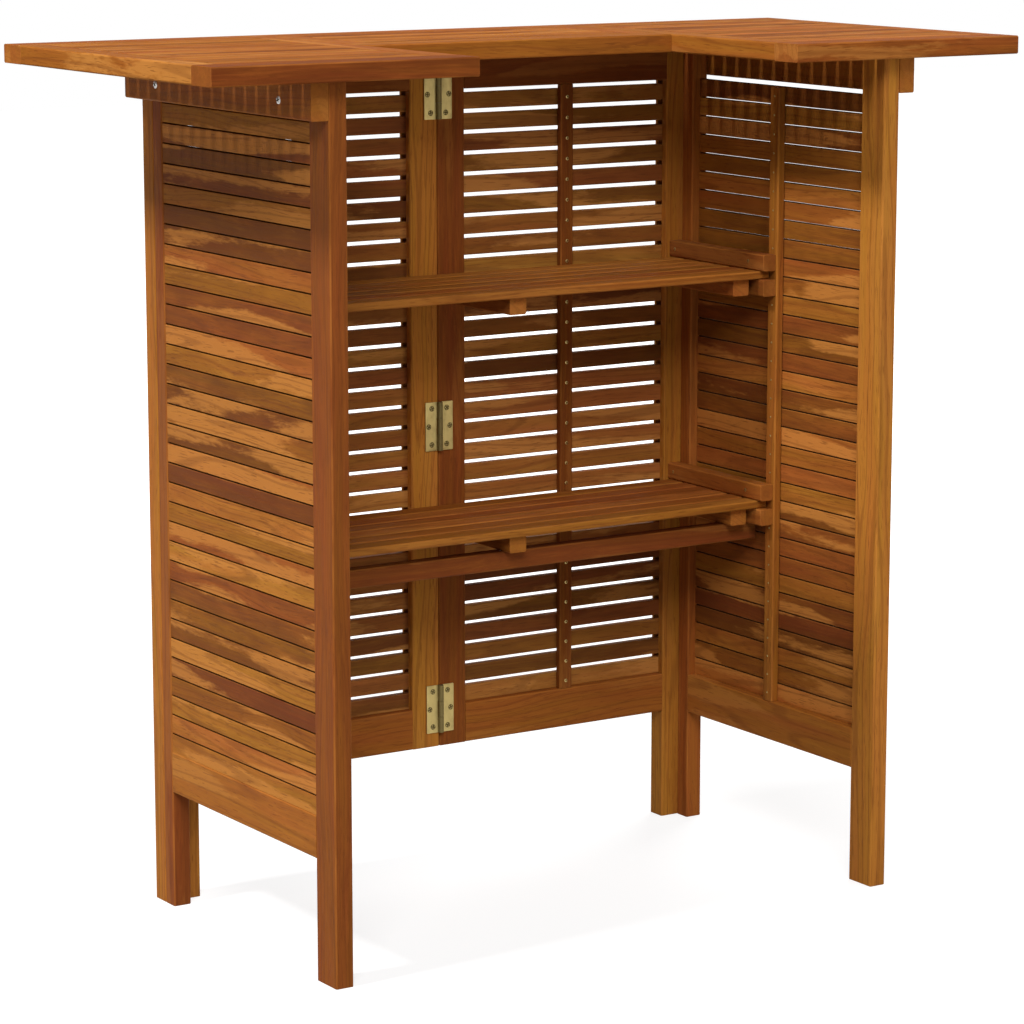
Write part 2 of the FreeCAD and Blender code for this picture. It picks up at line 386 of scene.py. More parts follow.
@dataclass(frozen=True)
class WoodGrain:
    """Node group that paints solid timber from each board's own place, tone and tint, with painted
    shade on the gap walls and pale edge wear with a painted highlight on the eased edges.
    """

    drift: Noise = Noise((4.0, 9.0, 9.0), 1.0)
    drift_reach: float = 26.0 * MM
    streaks: Noise = Noise((2.6, 240.0, 240.0), 3.0, 0.6)
    streak_rough: float = 0.22
    streak_relief: float = 0.5
    fibres: Noise = Noise((16.0, 1300.0, 1300.0), 2.0, 0.6)
    fibre_swing: float = 0.22
    patches: Noise = Noise((13.0, 46.0, 46.0), 2.5, 0.55)
    ring_slope: Noise = Noise((1.1, 26.0, 26.0))
    ring_waves: float = 58.0
    ring_span: Span = (0.45, 1.0)
    ring_share: float = 0.34
    pores: Noise = Noise((42.0, 1000.0, 1000.0))
    pore_span: Span = (0.66, 0.74)
    pore_share: float = 0.45
    middle_span: Span = (0.0, 0.55)
    light_span: Span = (0.45, 1.0)
    hue: Noise = Noise((3.0, 60.0, 60.0), 2.0)
    hue_swing: float = 1.6
    red: Colour = (1.03, 0.87, 0.97)
    golden: Colour = (0.97, 1.09, 0.80)
    flame_bands: Noise = Noise((3.4, 34.0, 34.0))
    flame_rags: Noise = Noise((30.0, 150.0, 150.0), 3.0, 0.65)
    rag_reach: float = 0.24
    flame_span: Span = (0.68, 0.77)
    end_share: float = 0.25
    end_rough: float = 0.2
    # Pale edge wear with a painted highlight on the slanted faces of the eased edges.
    wear_span: Span = (0.30, 0.70)
    wear_share: float = 0.4
    wear_rough: float = 0.12
    # Share of painted shade laid on the walls of the gaps between slats.
    grime_share: float = 0.7

    def build(self) -> bpy.types.NodeTree:
        """Make the group.

        Returns:
            The finished node group.
        """
        sheet = new_group(
            "wood_grain",
            {
                "Grain": "Vector", **dict.fromkeys(BOARD_MARKS, "Float"), "Grime": "Color",
                "Dark": "Color", "Middle": "Color", "Light": "Color", "Sapwood": "Color",
                "Streak": "Float", "Patch": "Float", "Sap": "Float", "Gloss": "Float",
            },
            {"Colour": "Color", "Roughness": "Float", "Height": "Float"},
        )
        given = sheet.add("NodeGroupInput").outputs
        place = self.wandering(sheet, given["Grain"])
        streaks = sheet.noise(place, self.streaks)
        fibres = sheet.noise(place, self.fibres)
        patches = sheet.noise(place, self.patches)
        rings = self.ring_lines(sheet, place)
        tone = self.board_tone(sheet, given, streaks, fibres, patches)
        colour = self.heartwood(sheet, given, place, tone)
        colour = self.with_sapwood(sheet, given, place, colour)
        colour = sheet.overlay(rings, self.ring_share, colour, given["Dark"])
        pores = sheet.step(sheet.noise(place, self.pores), *self.pore_span)
        colour = sheet.overlay(pores, self.pore_share, colour, given["Dark"])
        colour = sheet.overlay(given["End"], self.end_share, colour, given["Light"])
        # Edge wear with a painted highlight: the eased edges turn lighter in patches.
        edge_wear_and_highlight = sheet.math("MULTIPLY", given["Edge"], sheet.step(patches, *self.wear_span))
        colour = sheet.overlay(edge_wear_and_highlight, self.wear_share, colour, given["Light"])
        # Painted shade: the walls of the gaps between slats are darkened towards the gap shade colour.
        colour = sheet.overlay(given["Gap"], self.grime_share, colour, given["Grime"])
        rough = sheet.math("MULTIPLY_ADD", streaks, self.streak_rough, given["Gloss"])
        rough = sheet.math("MULTIPLY_ADD", given["End"], self.end_rough, rough)
        rough = sheet.math("MULTIPLY_ADD", edge_wear_and_highlight, self.wear_rough, rough)
        rough = sheet.math("MAXIMUM", rough, given["Gap"])
        relief = sheet.math("SUBTRACT", fibres, pores)
        result = sheet.add("NodeGroupOutput").inputs
        sheet.feed(result["Colour"], colour)
        sheet.feed(result["Roughness"], rough)
        sheet.feed(result["Height"], sheet.math("MULTIPLY_ADD", streaks, self.streak_relief, relief))
        return sheet.tree

    def wandering(self, sheet: NodeSheet, grain: Socket) -> Socket:
        """Let the grain wander a few millimetres to the side as it runs along the board.

        Args:
            sheet: the group's sheet.
            grain: place on the board, before the grain wanders.

        Returns:
            The place that the noises of the grain read.
        """
        drift = sheet.noise(grain, self.drift).node
        push = sheet.add("ShaderNodeVectorMath", operation="MULTIPLY_ADD")
        sheet.feed(push.inputs[0], drift.outputs["Color"])
        sheet.feed(push.inputs[1], (0.0, self.drift_reach, self.drift_reach))
        sheet.feed(push.inputs[2], grain)
        return push.outputs[0]

    def ring_lines(self, sheet: NodeSheet, place: Socket) -> Socket:
        """Draw growth rings as the level lines of a long, slow noise.

        Args:
            sheet: the group's sheet.
            place: place on the board.

        Returns:
            A mask that is 1 on the rings.
        """
        slope = sheet.noise(place, self.ring_slope)
        wave = sheet.math("SINE", sheet.math("MULTIPLY", slope, self.ring_waves))
        return sheet.step(wave, *self.ring_span)

    def board_tone(
        self, sheet: NodeSheet, given: bpy.types.NodeOutputs,
        streaks: Socket, fibres: Socket, patches: Socket,
    ) -> Socket:
        """Add streaks, fibres and patches to the tone of the board.

        Args:
            sheet: the group's sheet.
            given: inputs of the group.
            streaks: noise of the broad streaks.
            fibres: noise of the fine fibres.
            patches: noise of the cloudy figure.

        Returns:
            The tone at each place, from dark at 0 to light at 1.
        """
        tone = given["Tone"]
        swings = ((streaks, given["Streak"]), (patches, given["Patch"]), (fibres, self.fibre_swing))
        for part, amount in swings:
            swing = sheet.math("MULTIPLY", sheet.math("SUBTRACT", part, NOISE_MEAN), amount)
            tone = sheet.math("ADD", tone, swing)
        return tone

    def heartwood(
        self, sheet: NodeSheet, given: bpy.types.NodeOutputs, place: Socket, tone: Socket
    ) -> Socket:
        """Turn the tone into a colour, redder or more golden with the tint of the board.

        Args:
            sheet: the group's sheet.
            given: inputs of the group.
            place: place on the board.
            tone: how light the wood is.

        Returns:
            The colour of the heartwood.
        """
        colour = sheet.mix(sheet.step(tone, *self.middle_span), given["Dark"], given["Middle"])
        colour = sheet.mix(sheet.step(tone, *self.light_span), colour, given["Light"])
        change = sheet.math("SUBTRACT", sheet.noise(place, self.hue), NOISE_MEAN)
        golden = sheet.math("MULTIPLY_ADD", change, self.hue_swing, given["Tint"])
        tint = sheet.mix(golden, rgba(self.red), rgba(self.golden))
        return sheet.mix(1.0, colour, tint, "MULTIPLY")

    def with_sapwood(
        self, sheet: NodeSheet, given: bpy.types.NodeOutputs, place: Socket, colour: Socket
    ) -> Socket:
        """Lay pale flames with a ragged edge over part of the boards.

        Args:
            sheet: the group's sheet.
            given: inputs of the group.
            place: place on the board.
            colour: colour of the heartwood.

        Returns:
            The colour with the flames on it.
        """
        rags = sheet.noise(place, self.flame_rags)
        bands = sheet.noise(place, self.flame_bands)
        outline = sheet.math("MULTIPLY_ADD", rags, self.rag_reach, bands)
        mask = sheet.step(outline, *self.flame_span)
        share = sheet.math("MULTIPLY", given["Sap"], given["Flames"])
        return sheet.overlay(mask, share, colour, given["Sapwood"])


@dataclass(frozen=True)
class MetalWear:
    """Node group that clouds and stains bare metal, and paints shade onto its recesses and the other
    faces marked as shaded.
    """

    clouds: Noise = Noise((90.0, 90.0, 60.0), 3.0, 0.6)
    cloud_rough: float = 0.2
    brushing: Noise = Noise((2600.0, 2600.0, 140.0), 1.0)
    stain_span: Span = (0.42, 0.78)
    shade_rough: float = 0.25

    def build(self) -> bpy.types.NodeTree:
        """Make the group.

        Returns:
            The finished node group.
        """
        sheet = new_group(
            "metal_wear",
            {
                "Place": "Vector", "Shade": "Float", "Bright": "Color", "Stain": "Color",
                "Gloss": "Float", "Stains": "Float",
            },
            {"Colour": "Color", "Roughness": "Float", "Height": "Float"},
        )
        given = sheet.add("NodeGroupInput").outputs
        clouds = sheet.noise(given["Place"], self.clouds)
        brushing = sheet.noise(given["Place"], self.brushing)
        stained = sheet.math("MULTIPLY", sheet.step(clouds, *self.stain_span), given["Stains"])
        # Real stains and painted shade both take the stain colour.
        dark = sheet.math("MAXIMUM", stained, given["Shade"])
        colour = sheet.mix(dark, given["Bright"], given["Stain"])
        rough = sheet.math("MULTIPLY_ADD", clouds, self.cloud_rough, given["Gloss"])
        rough = sheet.math("MULTIPLY_ADD", given["Shade"], self.shade_rough, rough)
        result = sheet.add("NodeGroupOutput").inputs
        sheet.feed(result["Colour"], colour)
        sheet.feed(result["Roughness"], rough)
        sheet.feed(result["Height"], brushing)
        return sheet.tree


def start_material(name: str) -> tuple[bpy.types.Material, NodeSheet, bpy.types.Node]:
    """Make a material with a Principled shader.

    Args:
        name: name of the material.

    Returns:
        The material, a sheet on its nodes, and its shader.
    """
    material = bpy.data.materials.new(name)
    material.use_nodes = True
    sheet = NodeSheet(material.node_tree)
    return material, sheet, material.node_tree.nodes["Principled BSDF"]


@dataclass(frozen=True)
class Relief:
    """How strongly the pattern of a finish stands out from its surface."""

    strength: float
    depth: float

    def wire(self, sheet: NodeSheet, group: bpy.types.Node, shader: bpy.types.Node) -> None:
        """Lead the colour, roughness and height that a group paints to the shader.

        Args:
            sheet: sheet on the material.
            group: node of the group.
            shader: the Principled shader.
        """
        bump = sheet.add("ShaderNodeBump")
        sheet.feed(bump.inputs["Strength"], self.strength)
        sheet.feed(bump.inputs["Distance"], self.depth)
        sheet.feed(bump.inputs["Height"], group.outputs["Height"])
        sheet.feed(shader.inputs["Base Color"], group.outputs["Colour"])
        sheet.feed(shader.inputs["Roughness"], group.outputs["Roughness"])
        sheet.feed(shader.inputs["Normal"], bump.outputs["Normal"])


@dataclass(frozen=True)
class WoodFinish:
    """Oiled hardwood, from its dark heartwood to its pale sapwood."""

    slot: Slot
    dark: Colour
    middle: Colour
    light: Colour
    sapwood: Colour
    streak: float
    patch: float
    sap: float
    gloss: float
    # Colour of the painted shade on the walls of the gaps between slats.
    grime: Colour = (0.030, 0.014, 0.007)
    specular: float = 0.03
    relief: Relief = Relief(0.5, 0.35 * MM)

    def material(self, grain: bpy.types.NodeTree) -> bpy.types.Material:
        """Make the material.

        Args:
            grain: the shared group that paints the grain.

        Returns:
            The material for every board with this finish.
        """
        material, sheet, shader = start_material(self.slot.value)
        group = sheet.add("ShaderNodeGroup", node_tree=grain)
        place = sheet.add("ShaderNodeAttribute", attribute_name="grain")
        sheet.feed(group.inputs["Grain"], place.outputs["Vector"])
        for socket, attribute in BOARD_MARKS.items():
            value = sheet.add("ShaderNodeAttribute", attribute_name=attribute)
            sheet.feed(group.inputs[socket], value.outputs["Fac"])
        colours = {
            "Dark": self.dark, "Middle": self.middle, "Light": self.light,
            "Sapwood": self.sapwood, "Grime": self.grime,
        }
        for socket, colour in colours.items():
            sheet.feed(group.inputs[socket], rgba(colour))
        amounts = {"Streak": self.streak, "Patch": self.patch, "Sap": self.sap, "Gloss": self.gloss}
        for socket, amount in amounts.items():
            sheet.feed(group.inputs[socket], amount)
        self.relief.wire(sheet, group, shader)
        sheet.feed(shader.inputs["Specular IOR Level"], self.specular)
        return material


@dataclass(frozen=True)
class MetalFinish:
    """Bare or plated metal with clouded stains, whose stain colour also paints shade on the faces
    marked as shaded.
    """

    slot: Slot
    bright: Colour
    stain: Colour
    gloss: float
    stains: float
    relief: Relief = Relief(0.25, 0.05 * MM)

    def material(self, wear: bpy.types.NodeTree) -> bpy.types.Material:
        """Make the material.

        Args:
            wear: the shared group that stains the metal.

        Returns:
            The material for every fitting with this finish.
        """
        material, sheet, shader = start_material(self.slot.value)
        group = sheet.add("ShaderNodeGroup", node_tree=wear)
        place = sheet.add("ShaderNodeTexCoord")
        sheet.feed(group.inputs["Place"], place.outputs["Object"])
        shade = sheet.add("ShaderNodeAttribute", attribute_name="shade")
        sheet.feed(group.inputs["Shade"], shade.outputs["Fac"])
        sheet.feed(group.inputs["Bright"], rgba(self.bright))
        sheet.feed(group.inputs["Stain"], rgba(self.stain))
        sheet.feed(group.inputs["Gloss"], self.gloss)
        sheet.feed(group.inputs["Stains"], self.stains)
        self.relief.wire(sheet, group, shader)
        sheet.feed(shader.inputs["Metallic"], 1.0)
        return material


WOOD_FINISHES = (
    WoodFinish(
        Slot.TOP, (0.172, 0.047, 0.011), (0.362, 0.110, 0.020), (0.508, 0.185, 0.038),
        (0.580, 0.235, 0.050), streak=0.50, patch=0.40, sap=0.45, gloss=0.48, specular=0.008,
    ),
    WoodFinish(
        Slot.FRAME, (0.170, 0.046, 0.012), (0.340, 0.108, 0.020), (0.520, 0.190, 0.036),
        (0.560, 0.225, 0.048), streak=0.40, patch=0.18, sap=0.20, gloss=0.40,
    ),
    WoodFinish(
        Slot.SLAT, (0.160, 0.046, 0.012), (0.330, 0.108, 0.020), (0.520, 0.195, 0.038),
        (0.610, 0.240, 0.050), streak=0.36, patch=0.50, sap=0.65, gloss=0.42,
    ),
    # Slat wood made greyer as painted light for the back slats, which stand in the shade inside the
    # table.
    WoodFinish(
        Slot.BACK, (0.166, 0.054, 0.017), (0.335, 0.123, 0.029), (0.520, 0.218, 0.053),
        (0.610, 0.265, 0.066), streak=0.36, patch=0.50, sap=0.65, gloss=0.42,
    ),
    WoodFinish(
        Slot.SHELF, (0.170, 0.046, 0.012), (0.330, 0.106, 0.020), (0.480, 0.178, 0.036),
        (0.540, 0.220, 0.048), streak=0.42, patch=0.25, sap=0.25, gloss=0.40,
    ),
)

METAL_FINISHES = (
    MetalFinish(Slot.BRASS, (0.500, 0.385, 0.150), (0.130, 0.100, 0.040), gloss=0.42, stains=0.30),
    MetalFinish(Slot.PIN, (0.300, 0.285, 0.265), (0.090, 0.072, 0.058), gloss=0.40, stains=0.75),
    MetalFinish(Slot.BOLT, (0.480, 0.465, 0.440), (0.150, 0.120, 0.090), gloss=0.36, stains=0.50),
)


@dataclass
class Piece:
    """A finished object and how it is fixed to the frame."""

    thing: bpy.types.Object
    slot: Slot
    body: str
    nodes: tuple[str, ...] = ()


@dataclass(frozen=True)
class Stock:
    """Tones and tints that the boards of a piece are picked from, and their share of pale flames."""

    tone: Span
    tint: Span = (0.2, 0.8)
    flames: float = 1.0

    def pick(self, chance: random.Random) -> Span:
        """Choose the tone and the tint of one board."""
        return chance.uniform(*self.tone), chance.uniform(*self.tint)


@dataclass(frozen=True)
class Timber:
    """The boards of one node, with their joints, eased edges and their own stretch of grain."""

    node: str
    grain: Axis
    stock: Stock
    ease: float = 0.55 * MM
    tongue: float = 0.0
    gap: Axis | None = None
    ease_segments: int = 2
    chamfer_reach: float = 1.6 * MM
    grain_reach: Triple = (4.0, 0.7, 0.7)
    end_facing: float = 0.9
    gap_facing: float = 0.95
    edge_slant: float = 0.97

    def build(self) -> bpy.types.Object:
        """Take the boards from the frame, ease their edges and lay their grain.

        Returns:
            The object that holds all boards of the node.
        """
        chance = random.Random(self.node)
        bm = copy_of(self.node)
        tone = bm.verts.layers.float.new("tone")
        tint = bm.verts.layers.float.new("tint")
        flames = bm.verts.layers.float.new("flames")
        shift = bm.verts.layers.float_vector.new("shift")
        outline = set()
        for box, verts in solids_in(bm):
            board_tone, board_tint = self.stock.pick(chance)
            start = Vector([chance.uniform(0.0, reach) for reach in self.grain_reach])
            for vert in verts:
                vert[tone], vert[tint], vert[shift] = board_tone, board_tint, start
                vert[flames] = self.stock.flames
            shoulders = box.shortened(self.grain, self.tongue)
            outline.update(vert for vert in verts if self.on_outline(vert.co, shoulders))
        arrises = [edge for edge in sharp_edges(bm) if outline.issuperset(edge.verts)]
        ease(bm, arrises, self.ease, self.ease_segments)
        self.lay_grain(bm)
        return new_object(self.node + "_finished", bm)

    def on_outline(self, place: Vector, board: Box) -> bool:
        """Tell whether a place is on an outer edge of a board, not in one of its joints."""
        gaps = [min(abs(place[i] - board.low[i]), abs(place[i] - board.high[i])) for i in range(3)]
        return sum(gap < self.chamfer_reach for gap in gaps) >= 2

    def lay_grain(self, bm: bmesh.types.BMesh) -> None:
        """Give each board its own place in the timber, and mark its ends, edges and gap walls.

        Args:
            bm: mesh of the boards, with the shift of each board's place.
        """
        grain = bm.verts.layers.float_vector.new("grain")
        end = bm.faces.layers.float.new("end_grain")
        edge = bm.faces.layers.float.new("edge")
        gap = bm.faces.layers.float.new("gap")
        shift = bm.verts.layers.float_vector["shift"]
        for vert in bm.verts:
            vert[grain] = Vector([vert.co[index] for index in self.grain.order]) + vert[shift]
        bm.normal_update()
        for face in bm.faces:
            slopes = [abs(part) for part in face.normal]
            face[end] = float(slopes[self.grain.value] > self.end_facing)
            # Slanted faces of eased edges get pale edge wear with a painted highlight; gap walls get
            # painted shade.
            face[edge] = float(max(slopes) < self.edge_slant)
            face[gap] = float(self.gap is not None and slopes[self.gap.value] > self.gap_facing)
        bm.verts.layers.float_vector.remove(shift)


def new_mesh(name: str, bm: bmesh.types.BMesh) -> bpy.types.Mesh:
    """Turn a bmesh into a mesh.

    Args:
        name: name of the mesh.
        bm: the bmesh, which is freed.

    Returns:
        The new mesh.
    """
    mesh = bpy.data.meshes.new(name)
    bm.to_mesh(mesh)
    bm.free()
    return mesh


def new_object(name: str, bm: bmesh.types.BMesh, smooth_angle: float = 0.0) -> bpy.types.Object:
    """Turn a bmesh into an object at the origin.

    Args:
        name: name of the object.
        bm: the bmesh, which is freed.
        smooth_angle: angle in radians below which edges are shaded smooth; 0 leaves all flat.

    Returns:
        The new object.
    """
    mesh = new_mesh(name, bm)
    if smooth_angle:
        mesh.shade_smooth()
        mesh.set_sharp_from_angle(angle=smooth_angle)
    thing = bpy.data.objects.new(name, mesh)
    bpy.context.scene.collection.objects.link(thing)
    return thing


def facing(place: Vector, way: Vector, spin: float = 0.0) -> Matrix:
    """Stand a fitting at a place.

    Args:
        place: middle of the fitting's seat.
        way: direction that its head looks in.
        spin: turn about that direction, in radians.

    Returns:
        The matrix that takes a fitting drawn with its head along +Z there.
    """
    turn = way.to_track_quat("Z", "Y").to_matrix().to_4x4()
    return Matrix.Translation(place) @ turn @ Matrix.Rotation(spin, 4, "Z")


@dataclass(frozen=True)
class ScrewHead:
    """Countersunk head with a cross recess."""

    radius: float
    rise: float = 0.35 * MM
    rim_rise: float = 0.1 * MM
    sink: float = 0.8 * MM
    recess: float = 1.0 * MM
    slot_half: float = 0.16
    slot_reach: float = 0.62
    shade_start: float = 0.3
    top_tarnish: float = 0.0
    # Painted shadow of the countersink's edge on the rim of the head.
    rim_tarnish: float = 0.0

    def template(self) -> bpy.types.Mesh:
        """Model one head about the origin, looking along +Z.

        Returns:
            A mesh to stamp at every screw.
        """
        bm = bmesh.new()
        shade = bm.faces.layers.float.new("shade")
        bmesh.ops.create_grid(bm, x_segments=3, y_segments=3, size=1.0)
        for vert in bm.verts:
            for index in (0, 1):
                line = self.slot_half if abs(vert.co[index]) < 0.5 else self.slot_reach
                vert.co[index] = math.copysign(line * self.radius, vert.co[index])
            vert.co.z = self.rise
        middle = self.slot_half * self.radius
        cross = [face for face in bm.faces if min(map(abs, face.calc_center_median().xy)) < middle]
        self.spread(bm, self.rim_rise)
        self.spread(bm, -self.sink)
        bmesh.ops.holes_fill(bm, edges=self.rim_of(bm))
        pit = bmesh.ops.extrude_face_region(bm, geom=cross)["geom"]
        floor = [item for item in pit if isinstance(item, bmesh.types.BMVert)]
        bmesh.ops.translate(bm, verts=floor, vec=(0.0, 0.0, -self.recess))
        bmesh.ops.delete(bm, geom=[face for face in cross if face.is_valid], context="FACES_ONLY")
        bmesh.ops.recalc_face_normals(bm, faces=bm.faces[:])
        # Paint shade into the cross recess and onto the rim, where the countersink's edge shades it;
        # the flat top keeps its tarnish.
        for face in bm.faces:
            centre = face.calc_center_median()
            on_rim = centre.xy.length > self.slot_reach * self.radius
            sunk = centre.z < self.rise - self.shade_start * self.recess and not on_rim
            face[shade] = 1.0 if sunk else self.rim_tarnish if on_rim else self.top_tarnish
        return new_mesh("screw_head", bm)

    def rim_of(self, bm: bmesh.types.BMesh) -> list[bmesh.types.BMEdge]:
        """Find the open edges of the unfinished head."""
        return [edge for edge in bm.edges if edge.is_boundary]

    def spread(self, bm: bmesh.types.BMesh, height: float) -> None:
        """Extrude the rim of the unfinished head and round it to the head's circle.

        Args:
            bm: mesh of the head.
            height: height of the circle.
        """
        for vert in bmesh.ops.extrude_edge_only(bm, edges=self.rim_of(bm))["geom"]:
            if isinstance(vert, bmesh.types.BMVert):
                out = vert.co.xy.normalized() * self.radius
                vert.co = Vector((out.x, out.y, height))


@dataclass(frozen=True)
class NailHead:
    """Low domed head of a nail."""

    radius: float
    rise: float = 0.5 * MM
    sink: float = 0.6 * MM
    sides: int = 10
    crown: float = 0.4 * MM
    crown_segments: int = 2

    def template(self) -> bpy.types.Mesh:
        """Model one head about the origin, looking along +Z.

        Returns:
            A mesh to stamp at every nail.
        """
        bm = bmesh.new()
        bm.faces.layers.float.new("shade")
        depth = self.rise + self.sink
        middle = Matrix.Translation((0.0, 0.0, self.rise - depth / 2))
        bmesh.ops.create_cone(
            bm, cap_ends=True, segments=self.sides, radius1=self.radius, radius2=self.radius,
            depth=depth, matrix=middle,
        )
        brim = [edge for edge in bm.edges if min(vert.co.z for vert in edge.verts) > 0.0]
        ease(bm, brim, self.crown, self.crown_segments)
        return new_mesh("nail_head", bm)


def stamp(name: str, template: bpy.types.Mesh, places: list[Matrix]) -> bpy.types.Object:
    """Copy a small fitting to several places, as one object.

    Args:
        name: name of the object.
        template: mesh of one fitting.
        places: where the copies go.

    Returns:
        The object with all copies.
    """
    bm = bmesh.new()
    for place in places:
        bm.from_mesh(template)
        bm.verts.ensure_lookup_table()
        bmesh.ops.transform(bm, matrix=place, verts=bm.verts[-len(template.vertices):])
    return new_object(name, bm, ROUND)


@dataclass
class SubAssembly:
    """Pieces that are built, dressed and fixed to the frame together."""

    pieces: list[Piece] = field(default_factory=list, init=False)
    body: str = field(default="bar", init=False)

    def timber(self, slot: Slot, boards: Timber) -> None:
        """Build the boards of a node and keep them as a piece."""
        self.pieces.append(Piece(boards.build(), slot, self.body, (boards.node,)))

    def metal(self, slot: Slot, node: str, bm: bmesh.types.BMesh) -> None:
        """Keep the finished metal of a node as a piece.

        Args:
            slot: finish of the metal.
            node: node that the piece takes the place of.
            bm: the finished mesh.
        """
        self.pieces.append(Piece(new_object(node + "_finished", bm, ROUND), slot, self.body, (node,)))

    def turned(self, slot: Slot, node: str, rim: float, segments: int) -> None:
        """Round the rims of the pins or bolts of a node and keep them as a piece.

        Args:
            slot: finish of the metal.
            node: name of the node.
            rim: how far the rounding reaches.
            segments: number of faces across the rounding.
        """
        bm = copy_of(node)
        bm.faces.layers.float.new("shade")
        ease(bm, [edge for edge in sharp_edges(bm) if edge.calc_face_angle() > ROUND], rim, segments)
        self.metal(slot, node, bm)

    def fittings(self, slot: Slot, name: str, head: ScrewHead | NailHead, places: list[Matrix]) -> None:
        """Put copies of a small head at several places and keep them as a piece.

        Args:
            slot: finish of the heads.
            name: name of the piece.
            head: shape of one head.
            places: where the heads go.
        """
        self.pieces.append(Piece(stamp(name, head.template(), places), slot, self.body))

    def build(self) -> None:
        """Make the meshes of the sub-assembly."""
        raise NotImplementedError

    def dress(self, finishes: dict[Slot, bpy.types.Material]) -> None:
        """Give each piece its finish, and fix it to its body.

        Args:
            finishes: the materials by slot.
        """
        for piece in self.pieces:
            piece.thing.data.materials.append(finishes[piece.slot])
            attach(piece.thing, piece.body)
            if piece.nodes:
                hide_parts(*piece.nodes)
            log.info("%s: %s on %s", piece.thing.name, piece.slot.value, piece.body)


@dataclass
class Wing(SubAssembly):
    """One side panel: stiles, bottom rail, close-set slats, batten and cleat."""

    side: Side
    front_stile: Stock
    rear_stile: Stock
    bottom_rail: Stock = Stock((0.60, 0.68), (0.6, 0.8), 2.5)
    slats: Stock = Stock((0.10, 0.80), (0.0, 1.0))
    batten: Stock = Stock((0.55, 0.65), (0.7, 0.9))
    cleat: Stock = Stock((0.35, 0.45))
    tongue: float = 8.0 * MM
    slat_ease: float = 0.6 * MM
    nail: NailHead = NailHead(1.3 * MM)
    cleat_screw: ScrewHead = ScrewHead(4.6 * MM, rise=1.0 * MM)
    cleat_screw_insets: Span = (72.0 * MM, 78.0 * MM)
    cleat_screw_spins: Span = (0.4, 1.1)
    cleat_screw_drop: float = 24.0 * MM

    def named(self, part: str) -> str:
        """Full name of one of the wing's nodes."""
        return f"{self.side.prefix}_wing_{part}"

    def build(self) -> None:
        """Make the boards, the nails of the batten and the screws of the cleat."""
        self.timber(Slot.FRAME, Timber(self.named("front_stile"), Axis.Z, self.front_stile))
        self.timber(Slot.FRAME, Timber(self.named("rear_stile"), Axis.Z, self.rear_stile))
        rail = Timber(self.named("bottom_rail"), Axis.Y, self.bottom_rail, tongue=self.tongue)
        self.timber(Slot.FRAME, rail)
        # The wing slats mark their gap walls, which get painted shade.
        slats = Timber(self.named("slats"), Axis.Y, self.slats, self.slat_ease, self.tongue, gap=Axis.Z)
        self.timber(Slot.SLAT, slats)
        self.timber(Slot.FRAME, Timber(self.named("batten"), Axis.Z, self.batten))
        self.timber(Slot.FRAME, Timber(self.named("cleat"), Axis.Y, self.cleat))
        self.nail_batten()
        self.screw_cleat()

    def nail_batten(self) -> None:
        """Put a nail through the batten into the middle of every slat."""
        inward = Vector((-self.side.value, 0.0, 0.0))
        low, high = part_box(self.named("batten"))
        face_x = min(low.x, high.x, key=abs)
        places = []
        for slat in solids_of(self.named("slats")):
            place = Vector((face_x, (low.y + high.y) / 2, slat.centre.z))
            places.append(facing(place, inward))
        self.fittings(Slot.BRASS, self.named("batten_nails"), self.nail, places)

    def screw_cleat(self) -> None:
        """Put two round-headed screws through the cleat into the stiles."""
        outward = Vector((self.side.value, 0.0, 0.0))
        low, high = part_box(self.named("cleat"))
        face_x = max(low.x, high.x, key=abs)
        front, rear = self.cleat_screw_insets
        places = []
        for y, spin in zip((low.y + front, high.y - rear), self.cleat_screw_spins):
            place = Vector((face_x, y, high.z - self.cleat_screw_drop))
            places.append(facing(place, outward, spin))
        self.fittings(Slot.BOLT, self.named("cleat_screws"), self.cleat_screw, places)


@dataclass
class BackLeaf(SubAssembly):
    """One hinged leaf of the back: leg, hinge stile, rails, open-set slats and batten."""

    side: Side
    leg: Stock
    hinge_stile: Stock
    bottom_rail: Stock = Stock((0.35, 0.55))
    # The top rail's dark tone is painted shade from the top above it.
    top_rail: Stock = Stock((0.10, 0.15))
    slats: Stock = Stock((0.10, 0.75), (0.0, 1.0))
    batten: Stock = Stock((0.15, 0.20))
    tongue: float = 8.0 * MM
    slat_ease: float = 1.1 * MM
    screw: ScrewHead = ScrewHead(2.3 * MM)

    def named(self, part: str) -> str:
        """Full name of one of the leaf's nodes."""
        return f"{self.side.prefix}_back_{part}"

    def build(self) -> None:
        """Make the boards and the screws of the batten."""
        self.timber(Slot.FRAME, Timber(self.named("leg"), Axis.Z, self.leg))
        self.timber(Slot.FRAME, Timber(self.named("hinge_stile"), Axis.Z, self.hinge_stile))
        for rail, stock in (("bottom_rail", self.bottom_rail), ("top_rail", self.top_rail)):
            self.timber(Slot.FRAME, Timber(self.named(rail), Axis.X, stock, tongue=self.tongue))
        slats = Timber(self.named("slats"), Axis.X, self.slats, self.slat_ease, self.tongue)
        self.timber(Slot.BACK, slats)
        self.timber(Slot.FRAME, Timber(self.named("batten"), Axis.Z, self.batten))
        self.screw_batten()

    def screw_batten(self) -> None:
        """Put a screw through the batten into the middle of every slat."""
        name = self.named("batten_screws")
        chance = random.Random(name)
        low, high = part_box(self.named("batten"))
        places = []
        for slat in solids_of(self.named("slats")):
            place = Vector(((low.x + high.x) / 2, low.y, slat.centre.z))
            places.append(facing(place, FORWARD, chance.uniform(0.0, math.pi)))
        self.fittings(Slot.BRASS, name, self.screw, places)


